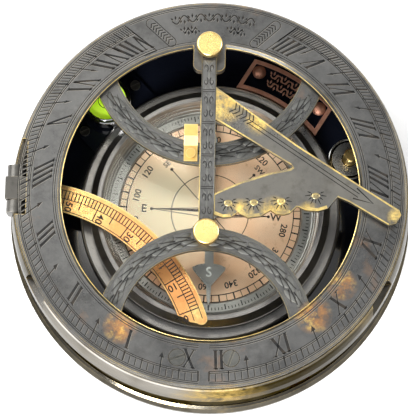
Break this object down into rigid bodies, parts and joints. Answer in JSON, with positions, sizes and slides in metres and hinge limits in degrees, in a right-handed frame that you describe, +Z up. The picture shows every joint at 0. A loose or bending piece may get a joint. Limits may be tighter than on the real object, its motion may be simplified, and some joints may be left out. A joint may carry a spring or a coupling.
{
  "type": "portable sundial compass",
  "caption": "Round box sundial compass with a hinged hour ring, folding pierced gnomon, latitude arc, magnetic compass, bullseye level and levelling screws.",
  "frame": {"origin": "middle of the plane that the three levelling screws rest on, under the case's axis", "axes": "+Z up along the case's axis, +Y towards the noon side of the hour ring, -X towards the hour ring's hinge"},
  "size_m": [0.127, 0.127, 0.054],
  "materials": {
    "antique_brass": "satin",
    "dark_brass": "satin",
    "bright_brass": "polished",
    "copper": "satin",
    "gunmetal": "satin",
    "chrome": "polished",
    "steel": "satin",
    "black_lacquer": "gloss",
    "level_liquid": "gloss",
    "glass": "clear"
  },
  "bodies": {
    "case": {"case_drum": "dark_brass", "base_plate": "dark_brass", "base_screws": "steel", "floor_plate": "black_lacquer", "compass_housing": "gunmetal", "compass_card": "copper", "chapter_ring": "gunmetal", "needle_pivot": "steel", "compass_glass": "glass", "compass_bezel": "dark_brass", "level_mount_plate": "gunmetal", "level_housing": "chrome", "level_liquid": "level_liquid", "level_lens": "glass", "level_screws": "steel", "nameplate": "copper", "nameplate_inlay": "black_lacquer", "nameplate_rivets": "copper", "arc_hinge_bracket": "gunmetal", "arc_hinge_pin": "steel", "hinge_bracket": "gunmetal", "hinge_pin": "steel"},
    "dial": {"hour_ring": "antique_brass", "ring_hinge_block": "gunmetal", "upper_spider_arc": "antique_brass", "lower_spider_arc": "antique_brass", "gnomon_post_upper": "bright_brass", "gnomon_post_lower": "bright_brass", "post_knobs": "bright_brass", "leaf_spring": "bright_brass", "leaf_spring_rivet": "bright_brass", "ring_catch": "gunmetal", "ring_catch_screws": "antique_brass"},
    "gnomon": {"gnomon_bar": "antique_brass", "gnomon_plate": "antique_brass", "gnomon_pivot_pins": "steel"},
    "latitude_arm": {"latitude_arc": "copper", "latitude_arc_knuckle": "copper"},
    "needle": {"compass_needle": "gunmetal", "needle_cap": "bright_brass"},
    "right_screw": {"levelling_screw_right": "bright_brass"},
    "rear_screw": {"levelling_screw_rear": "bright_brass"},
    "front_screw": {"levelling_screw_front": "bright_brass"}
  },
  "joints": [
    {"name": "ring_tilt", "type": "hinge", "parent": "case", "child": "dial", "pos_m": [-0.0582, 0, 0.0427], "axis": [0, -1, 0], "range_deg": [0, 90]},
    {"name": "gnomon_fold", "type": "hinge", "parent": "dial", "child": "gnomon", "pos_m": [-0.001, 0, 0.0488], "axis": [0, -1, 0], "range_deg": [0, 90]},
    {"name": "latitude_arc_lift", "type": "hinge", "parent": "case", "child": "latitude_arm", "pos_m": [-0.0515, 0.0025, 0.0222], "axis": [-1, 0, 0], "range_deg": [0, 15]},
    {"name": "needle_turn", "type": "hinge", "parent": "case", "child": "needle", "pos_m": [0, 0, 0.015], "axis": [0, 0, 1], "continuous": true},
    {"name": "right_levelling_travel", "type": "slide", "parent": "case", "child": "right_screw", "axis": [0, 0, -1], "range_m": [0, 0.004]},
    {"name": "rear_levelling_travel", "type": "slide", "parent": "case", "child": "rear_screw", "axis": [0, 0, -1], "range_m": [0, 0.004]},
    {"name": "front_levelling_travel", "type": "slide", "parent": "case", "child": "front_screw", "axis": [0, 0, -1], "range_m": [0, 0.004]}
  ]
}
